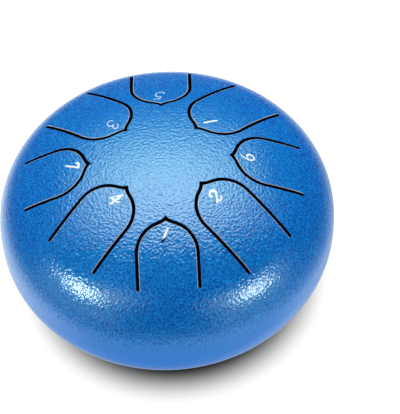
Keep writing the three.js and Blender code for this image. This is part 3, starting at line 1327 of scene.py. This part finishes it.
@dataclass
class NumberPrint:
    """The pen-drawn numbers, printed near the tongues' tips.

    A stroke's face lies a film above the paint, each stroke one film_step higher than the last, and its
    foot is sunk in the paint. It is widest across the pen's angle, and along it a hairline share of that.
    """

    section: Section
    tongues: Sequence[Tongue]
    inks: dict[Ink, bpy.types.Material]
    from_tip: float = 12 * MM
    film: float = 0.05 * MM
    film_step: float = 0.012 * MM
    sunk: float = 0.06 * MM
    pen_angle: float = math.radians(35.0)
    hairline: float = 0.55
    steps: int = 12
    round_steps: tuple[float, ...] = (0.92, 0.7, 0.38)

    def build(self) -> None:
        """Draws every number and mounts it on its tongue."""
        for tongue in self.tongues:
            draft = Draft()
            for order, stroke in enumerate(tongue.numeral.strokes):
                self._draw(draft, tongue, stroke, self.film + order * self.film_step)
            piece = draft.make(f"number_{tongue.numeral.name}", *(self.inks[ink] for ink in Ink))
            mount(piece, tongue.node, FinishSlot.PRINT)

    def _draw(self, draft: Draft, tongue: Tongue, stroke: Stroke, film: float) -> None:
        """Adds one stroke as a thin raised ribbon with round ends.

        Args:
            draft: the number in the making.
            tongue: the tongue that it is printed on.
            stroke: the stroke.
            film: how far its face lies above the paint.
        """
        path, widths = self._ribbon(stroke)
        step = np.gradient(path, axis=0)
        side = np.column_stack((-step[:, 1], step[:, 0])) / np.hypot(*step.T)[:, None]
        rows = []
        for lift in (film, -self.sunk):
            for half in (widths / 2, -widths / 2):
                edge = path + side * half[:, None]
                rows.append([draft.point(p) for p in self._on_tongue(tongue, edge, lift)])
        left_top, right_top, left_foot, right_foot = rows
        plan = self._to_plan(tongue, path)
        up = self.section.normals(plan)
        out = np.column_stack((self._to_plan(tongue, path + side) - plan, np.zeros(len(path))))
        sides = (
            (left_top, right_top, up),
            (left_foot, right_foot, -up),
            (left_top, left_foot, out),
            (right_top, right_foot, -out),
        )
        for i, j in zip(range(len(path)), range(1, len(path))):
            for first, second, facing in sides:
                corners = [first[i], first[j], second[j], second[i]]
                draft.face(corners, facing[[i, j, j, i]], stroke.ink.value)
        for end, sign in ((0, -1.0), (len(path) - 1, 1.0)):
            ahead = path[end] + sign * step[end] / np.hypot(*step[end])
            way = self._to_plan(tongue, np.array((path[end], ahead)))
            corners = [left_top[end], right_top[end], right_foot[end], left_foot[end]]
            draft.face(corners, [(*(way[1] - way[0]), 0.0)] * len(corners), stroke.ink.value)

    def _ribbon(self, stroke: Stroke) -> tuple[np.ndarray, np.ndarray]:
        """Smooths a stroke and gives it its pen's widths, thin along the pen's angle and round at its ends.

        Args:
            stroke: the stroke.

        Returns:
            The points of its middle line, and its width at each.
        """
        knots = np.array(stroke.points) * MM
        padded = np.vstack((2 * knots[0] - knots[1], knots, 2 * knots[-1] - knots[-2]))
        path = [knots[0]]
        for a, b, c, d in zip(padded, padded[1:], padded[2:], padded[3:]):
            for t in np.linspace(0.0, 1.0, self.steps + 1)[1:]:
                # A cubic from b to c, with the slopes of a to c at b and of b to d at c.
                bend = (2 * a - 5 * b + 4 * c - d) * t**2 + (3 * b - a - 3 * c + d) * t**3
                path.append(0.5 * (2 * b + (c - a) * t + bend))
        path = np.array(path)
        step = np.gradient(path, axis=0)
        lean = np.abs(np.sin(np.arctan2(step[:, 1], step[:, 0]) - self.pen_angle))
        widths = stroke.width * MM * (self.hairline + (1.0 - self.hairline) * lean)
        start = self._round_end(path[0], -step[0], widths[0])
        end = self._round_end(path[-1], step[-1], widths[-1])
        middle = np.vstack((start[0][::-1], path, end[0]))
        return middle, np.concatenate((start[1][::-1], widths, end[1]))

    def _round_end(self, tip: np.ndarray, step: np.ndarray, width: float) -> tuple[np.ndarray, np.ndarray]:
        """Rounds off one end of a stroke.

        Args:
            tip: where its middle line ends.
            step: the way that it runs there.
            width: its width there.

        Returns:
            The points beyond the tip, and the width at each.
        """
        shares = np.array(self.round_steps)
        reach = np.sqrt(1.0 - shares**2) * width / 2
        return tip + step / np.hypot(*step) * reach[:, None], width * shares

    def _to_plan(self, tongue: Tongue, drawn: np.ndarray) -> np.ndarray:
        """Points of the drawing, in the plan: a number's foot points outward."""
        middle = tongue.root(self.section) - tongue.length + self.from_tip
        return tongue.to_plan(np.column_stack((middle - drawn[:, 1], drawn[:, 0])))

    def _on_tongue(self, tongue: Tongue, drawn: np.ndarray, lift: float) -> np.ndarray:
        """Lays points of the drawing on a tongue's face.

        Args:
            tongue: the tongue.
            drawn: the points.
            lift: how far they are raised above the face.

        Returns:
            The points in space.
        """
        plan = self._to_plan(tongue, drawn)
        level = self.section.level(np.hypot(*plan.T))
        return np.column_stack((plan, level)) + lift * self.section.normals(plan)


@dataclass
class RubberFeet:
    """The four moulded feet that the drum stands on."""

    rubber: bpy.types.Material
    count: int = 4
    tread_round: float = 1.0 * MM
    brim_round: float = 0.6 * MM
    recess_radius: float = 5.5 * MM
    recess_round: float = 0.5 * MM
    bore_radius: float = 2.3 * MM
    web: float = 4 * MM
    bottom_radius: float = 9 * MM
    top_radius: float = 11 * MM
    segments: int = 56
    steps: int = 6

    def build(self) -> None:
        """Turns each foot where its solid is and mounts it."""
        for number in range(1, self.count + 1):
            node = f"foot_{number}"
            low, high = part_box(node)
            axis = (low.x + high.x) / 2, (low.y + high.y) / 2
            draft = Draft()
            draft.turn(self._outline(low.z, high.z), self.segments, axis)
            mount(draft.make(f"rubber_{node}", self.rubber), DRUM_BODY, FinishSlot.RUBBER, node)

    def _outline(self, low: float, high: float) -> list[list[Station]]:
        """Draws a foot from its tread up its flared side and down its bore and recess.

        Args:
            low: the level of its tread.
            high: the level of its brim.

        Returns:
            The stretches of its outline.
        """
        flare = math.degrees(math.atan2(self.top_radius - self.bottom_radius, high - low))
        tread_centre = self.bottom_radius - self.tread_round, low + self.tread_round
        brim_centre = self.top_radius - self.brim_round, high - self.brim_round
        lip_centre = self.recess_radius + self.recess_round, low + self.recess_round
        tread = arc(tread_centre, self.tread_round, -90.0, -flare, self.steps)
        brim = arc(brim_centre, self.brim_round, -flare, 90.0, self.steps)
        lip = arc(lip_centre, self.recess_round, 180.0, 270.0, self.steps)
        corners = (
            (brim_centre[0], high),
            (self.bore_radius, high),
            (self.bore_radius, high - self.web),
            (self.recess_radius, high - self.web),
            (self.recess_radius, lip_centre[1]),
        )
        return [
            tread,
            line(tread[-1].place, brim[0].place, right=True),
            brim,
            *(line(start, end, right=True) for start, end in zip(corners, corners[1:])),
            lip,
            line((lip_centre[0], low), (tread_centre[0], low), right=True),
        ]


@dataclass
class Fasteners:
    """The zinc-plated screws, washers and nuts of the feet, and the weld bead inside the seam."""

    zinc: bpy.types.Material
    weld: bpy.types.Material
    sets: int = 4
    kinds: tuple[str, ...] = ("foot_screw", "foot_washer", "foot_nut")

    def dress(self) -> None:
        """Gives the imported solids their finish."""
        for number in range(1, self.sets + 1):
            for kind in self.kinds:
                self._finish(f"{kind}_{number}", self.zinc)
        self._finish("seam_weld", self.weld)

    @staticmethod
    def _finish(node: str, finish: bpy.types.Material) -> None:
        """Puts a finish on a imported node.

        Args:
            node: the node's name.
            finish: its material.
        """
        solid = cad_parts[node]
        solid.data.materials.clear()
        solid.data.materials.append(finish)
        LOG.info("%s keeps its solid, in %s", node, finish.name)


def bearing(turn: float, rise: float) -> Vector:
    """The way out from the drum at an azimuth and an elevation, in radians."""
    return Vector((math.cos(rise) * math.cos(turn), math.cos(rise) * math.sin(turn), math.sin(rise)))


EVEN: Ramp = ((0.0, 1.0), (1.0, 1.0))
TENT: Ramp = ((0.0, 0.0), (0.5, 1.0), (1.0, 0.0))


@dataclass(frozen=True)
class Softbox:
    """A soft rectangular studio light that faces the drum.

    Its fade is its brightness from its lower edge up, and its ends give the brightness from end to end.
    Its bow bends the fade down at both ends, by a share of its depth. A mirrored light adds only to
    reflections.
    """

    name: str
    azimuth: float
    elevation: float
    distance: float
    width: float
    depth: float
    radiance: float
    fade: Ramp = EVEN
    ends: Ramp = EVEN
    bow: float = 0.0
    mirrored: bool = False
    tint: Colour = (1.0, 1.0, 1.0)

    def build(self, aim: Vector) -> None:
        """Hangs the light.

        Args:
            aim: the point that it faces.
        """
        lamp = bpy.data.lights.new(self.name, "AREA")
        lamp.shape = "RECTANGLE"
        lamp.size, lamp.size_y = self.width, self.depth
        lamp.energy = self.radiance * math.pi * self.width * self.depth
        lamp.color = self.tint
        if (self.fade, self.ends) != (EVEN, EVEN):
            self._shade(NodeSheet(lamp))
        light = bpy.data.objects.new(self.name, lamp)
        way = bearing(math.radians(self.azimuth), math.radians(self.elevation))
        light.location = aim + self.distance * way
        light.rotation_euler = way.to_track_quat("Z", "Y").to_euler()
        light.visible_diffuse = not self.mirrored
        bpy.context.scene.collection.objects.link(light)

    def _shade(self, sheet: NodeSheet) -> None:
        """Fades the light from edge to edge and from end to end.

        Args:
            sheet: the light's shader tree.
        """
        place = sheet.add("ShaderNodeNewGeometry", output="Parametric")
        along, up = (sheet.part(place, axis) for axis in "XY")
        off = 2.0 * along - 1.0
        level = sheet.ramp(along, self.ends) * sheet.ramp(up + self.bow * off * off, self.fade)
        glow = sheet.add("ShaderNodeEmission", None, {"Strength": level})
        sheet.add("ShaderNodeOutputLight", None, {"Surface": glow})


@dataclass(frozen=True)
class PaleSide:
    """A side of the surround that is paler: the way to it, how much paler, and how sharply that ends."""

    way: Triple
    more: float
    sharp: float


@dataclass(frozen=True)
class Studio:
    """A pale floor, soft lights on both sides and overhead, and a dim surround that is paler below."""

    floor_reach: float = 6.0
    aim_level: float = 0.1
    surround: Ramp = (
        (0.0, 0.27), (0.04, 0.32), (0.10, 0.42), (0.17, 0.42), (0.23, 0.28), (0.33, 0.06), (0.42, 0.01),
    )
    tint: Colour = (0.95, 1.03, 1.08)
    dark: Colour = (0.0, 0.0, 0.0)
    pale_sides: tuple[PaleSide, ...] = (
        PaleSide((-0.87, 0.5, 0.0), more=4.3, sharp=2.0),
        PaleSide((0.75, -0.66, 0.0), more=2.2, sharp=4.0),
        PaleSide((0.1, 0.99, 0.0), more=4.0, sharp=4.0),
        PaleSide((0.44, 0.18, -0.88), more=1.3, sharp=20.0),
    )
    lights: tuple[Softbox, ...] = (
        Softbox(
            "overhead_box",
            azimuth=90.0, elevation=77.9, distance=1.6, width=3.6, depth=0.92, radiance=4.85,
            fade=((0.0, 1.0), (0.94, 1.0), (1.0, 0.0)),
            ends=(
                (0.0, 0.0), (0.12, 0.14), (0.243, 0.5), (0.38, 0.9), (0.5, 1.0),
                (0.62, 0.9), (0.757, 0.5), (0.88, 0.14), (1.0, 0.0),
            ),
            bow=0.6, tint=(1.0, 0.97, 1.03),
        ),
        Softbox(
            "rear_box",
            azimuth=90.0, elevation=45.0, distance=1.6, width=2.0, depth=0.98, radiance=4.2,
            fade=((0.0, 0.0), (0.24, 0.17), (0.5, 0.5), (1.0, 1.0)), tint=(0.88, 1.16, 0.88),
        ),
        Softbox(
            "left_box",
            azimuth=-147.0, elevation=23.0, distance=1.4, width=0.48, depth=0.40, radiance=11.5,
            mirrored=True,
        ),
        Softbox(
            "left_glow",
            azimuth=-128.0, elevation=36.0, distance=1.4, width=1.0, depth=1.0, radiance=1.5,
            fade=TENT, ends=TENT, mirrored=True,
        ),
        Softbox(
            "left_wash",
            azimuth=-147.0, elevation=8.0, distance=1.5, width=1.5, depth=1.3, radiance=0.5,
        ),
        Softbox(
            "right_box",
            azimuth=-39.5, elevation=14.5, distance=1.4, width=0.48, depth=0.39, radiance=8.8,
            mirrored=True,
        ),
        Softbox(
            "right_glow",
            azimuth=-58.0, elevation=24.0, distance=1.4, width=0.9, depth=0.7, radiance=1.1,
            fade=TENT, ends=TENT, mirrored=True,
        ),
        Softbox(
            "right_wash",
            azimuth=-40.0, elevation=8.0, distance=1.5, width=1.5, depth=1.3, radiance=0.5,
        ),
    )

    def build(self) -> None:
        """Sets the floor, the lights and the surround."""
        reach = self.floor_reach
        draft = Draft()
        corners = [draft.point((x * reach, y * reach, 0.0)) for x, y in ((-1, -1), (1, -1), (1, 1), (-1, 1))]
        draft.face(corners, [(0.0, 0.0, 1.0)] * len(corners))
        floor = draft.make("studio_floor", StudioFloor().make())
        floor.visible_glossy = False
        for light in self.lights:
            light.build(Vector((0.0, 0.0, self.aim_level)))
        scene = bpy.context.scene
        scene.world = self._surround()
        scene.view_settings.view_transform = "Standard"

    def _surround(self) -> bpy.types.World:
        """Paints what the enamel mirrors where there is no light, from straight down to straight up.

        Returns:
            The surround as a world.
        """
        sheet = NodeSheet(bpy.data.worlds.new("studio_surround"))
        way = sheet.add("ShaderNodeTexCoord", output="Generated")
        glow = sheet.ramp(0.5 + 0.5 * sheet.part(way, "Z"), self.surround)
        gain = 1.0
        for side in self.pale_sides:
            toward = sheet.math("MAXIMUM", sheet.vectors("DOT_PRODUCT", way, side.way, "Value"), 0.0)
            gain = gain + side.more * sheet.math("POWER", toward, side.sharp)
        colour = sheet.mix(glow, self.dark, self.tint)
        background = sheet.add("ShaderNodeBackground", None, {"Color": colour, "Strength": gain})
        sheet.add("ShaderNodeOutputWorld", None, {"Surface": background})
        return sheet.owner


@dataclass(frozen=True)
class PhotoCamera:
    """The photograph's viewpoint, found from the drum's outline and slots in it."""

    azimuth: float = -88.7
    elevation: float = 50.38
    roll: float = -3.95
    distance: float = 1.6624
    focal_pixels: float = 2293.0
    frame_height: float = 414.0
    sensor: float = 36.0
    pole_left: float = 37.2
    pole_above: float = 54.0

    def build(self, pole: Vector) -> None:
        """Sets the camera.

        Args:
            pole: the top of the crown, which lies left of and above the frame's middle by pole_left and
                pole_above pixels.
        """
        turn, rise, roll = (math.radians(a) for a in (self.azimuth, self.elevation, self.roll))
        back = bearing(turn, rise)
        level = Vector((-math.sin(turn), math.cos(turn), 0.0))
        upright = back.cross(level)
        right = math.cos(roll) * level + math.sin(roll) * upright
        up = math.cos(roll) * upright - math.sin(roll) * level
        pixel = self.distance / self.focal_pixels
        place = pole + self.distance * back
        middle = pole + pixel * (self.pole_left * right - self.pole_above * up)
        back = (place - middle).normalized()
        right = up.cross(back).normalized()
        lens = bpy.data.cameras.new("photo_camera")
        lens.sensor_width = self.sensor
        lens.lens = self.focal_pixels * self.sensor / self.frame_height
        camera = bpy.data.objects.new("photo_camera", lens)
        axes = Matrix((right, back.cross(right), back)).transposed()
        camera.matrix_world = Matrix.Translation(place) @ axes.to_4x4()
        bpy.context.scene.collection.objects.link(camera)
        bpy.context.scene.camera = camera


ONE = Numeral(
    "1",
    (
        Stroke(((1.0, 4.9), (-0.4, 1.6), (-2.0, -1.9)), 2.4),
        Stroke(((0.7, 4.4), (-0.6, 3.2), (-2.2, 2.6)), 1.0, Ink.FAINT),
        # A black stroke runs on past the foot of the 1.
        Stroke(((-0.9, -2.3), (-3.6, -4.4)), 2.6, Ink.BLACK),
    ),
)
TWO = Numeral(
    "2",
    (
        Stroke(
            (
                (-2.7, 0.4), (-2.8, 1.6), (-1.7, 3.0), (0.3, 3.5),
                (2.0, 2.4), (2.0, 0.7), (-0.2, -2.4), (-2.9, -5.3),
            ),
            2.3,
        ),
        Stroke(((-3.0, -5.2), (-1.3, -5.1), (0.8, -5.6), (2.1, -5.0), (2.6, -4.0)), 1.9),
    ),
)
THREE = Numeral(
    "3",
    (
        Stroke(((-1.5, 3.0), (-0.6, 4.7), (1.3, 5.6), (3.1, 4.8), (3.2, 3.1), (1.9, 1.6), (0.3, 1.0)), 0.72),
        Stroke(
            ((0.3, 1.0), (2.3, 0.6), (3.4, -1.0), (2.7, -3.5), (0.6, -4.9), (-1.5, -4.5), (-2.2, -3.0)), 0.72
        ),
    ),
)
FOUR = Numeral(
    "4",
    (
        Stroke(((1.9, 6.8), (-0.8, 3.3), (-3.9, -0.1)), 1.5),
        Stroke(((-3.9, -0.1), (-1.4, 0.2), (1.2, -0.2), (3.7, 0.6)), 1.9),
        Stroke(((1.7, 5.7), (0.8, 1.7), (-0.5, -3.6)), 2.2),
    ),
)
FIVE = Numeral(
    "5",
    (
        Stroke(((0.8, 5.0), (2.6, 4.7), (4.1, 4.9), (5.4, 5.4)), 1.1, Ink.FAINT),
        Stroke(((1.0, 4.9), (0.5, 3.4), (-0.2, 1.7)), 0.8, Ink.FAINT),
        Stroke(
            (
                (-0.2, 1.7), (1.7, 2.0), (3.5, 0.6), (3.7, -1.8),
                (2.3, -3.9), (0.1, -4.5), (-1.9, -3.9), (-2.6, -2.4),
            ),
            1.1,
            Ink.FAINT,
        ),
    ),
)
SIX = Numeral(
    "6",
    (
        Stroke(((1.8, 6.2), (0.2, 4.6), (-1.4, 2.2), (-2.2, -0.6), (-1.6, -2.9), (0.2, -3.6)), 1.3),
        Stroke(((0.2, -3.6), (2.0, -2.8), (2.9, -0.9), (2.4, 0.9), (1.0, 1.6), (-1.5, 0.4)), 1.6),
    ),
)
SEVEN = Numeral(
    "7",
    (
        Stroke(((-3.3, 3.5), (-3.0, 4.9), (-1.8, 5.3), (0.0, 5.1), (1.6, 5.3)), 2.0),
        Stroke(((1.4, 5.2), (-0.2, 2.2), (-1.8, -0.9), (-3.4, -4.0)), 2.0),
    ),
)
HIGH_ONE = Numeral("1_high", (Stroke(((-0.2, 4.0), (-2.3, -0.5), (-4.4, -5.0)), 2.0),))

TONGUES = (
    Tongue("tongue_1", 0, length=46.5 * MM, setback=24.0 * MM, numeral=ONE),
    Tongue("tongue_2", 1, length=65.5 * MM, setback=21.0 * MM, numeral=TWO),
    Tongue("tongue_6", 2, length=50.5 * MM, setback=24.0 * MM, numeral=SIX),
    Tongue("tongue_1_high", 3, length=66.0 * MM, setback=23.0 * MM, numeral=HIGH_ONE),
    Tongue("tongue_5", 4, length=49.5 * MM, setback=22.5 * MM, numeral=FIVE),
    Tongue("tongue_3", 5, length=63.0 * MM, setback=23.5 * MM, numeral=THREE),
    Tongue("tongue_7", 6, length=48.0 * MM, setback=22.0 * MM, numeral=SEVEN),
    Tongue("tongue_4", 7, length=59.0 * MM, setback=27.0 * MM, numeral=FOUR),
)


def main() -> None:
    """Builds the drum's pieces in order, then the studio."""
    logging.basicConfig(level=logging.INFO, format="%(name)s: %(message)s")
    section = Section.from_frame()
    skin = HammerSkin()
    coats = {
        Coat.PAINT: HammerPaint(skin).make(),
        Coat.PAINTED_SHADE: PaintedShadePrimer().make(),
        Coat.EDGE: PaleEdgeHighlight().make(),
    }
    inks = {
        Ink.WHITE: NumberInk(skin, "white_number_ink", full=(0.92, 0.97, 1.0), thin=(0.60, 0.74, 0.88)),
        Ink.FAINT: NumberInk(skin, "faint_number_ink", full=(0.50, 0.66, 0.82), thin=(0.28, 0.50, 0.75)),
        Ink.BLACK: NumberInk(
            skin, "black_foot_mark", full=(0.003, 0.003, 0.004), thin=(0.006, 0.008, 0.012), shine=0.05
        ),
    }
    Crown(section, SlotCut(), TONGUES, coats).build()
    LowerBowl(section, coats).build()
    NumberPrint(section, TONGUES, {name: ink.make() for name, ink in inks.items()}).build()
    RubberFeet(FootRubber().make()).build()
    Fasteners(ZincPlate().make(), WeldBead().make()).dress()
    Studio().build()
    PhotoCamera().build(Vector((0.0, 0.0, section.top)))


if __name__ == "__main__":
    main()
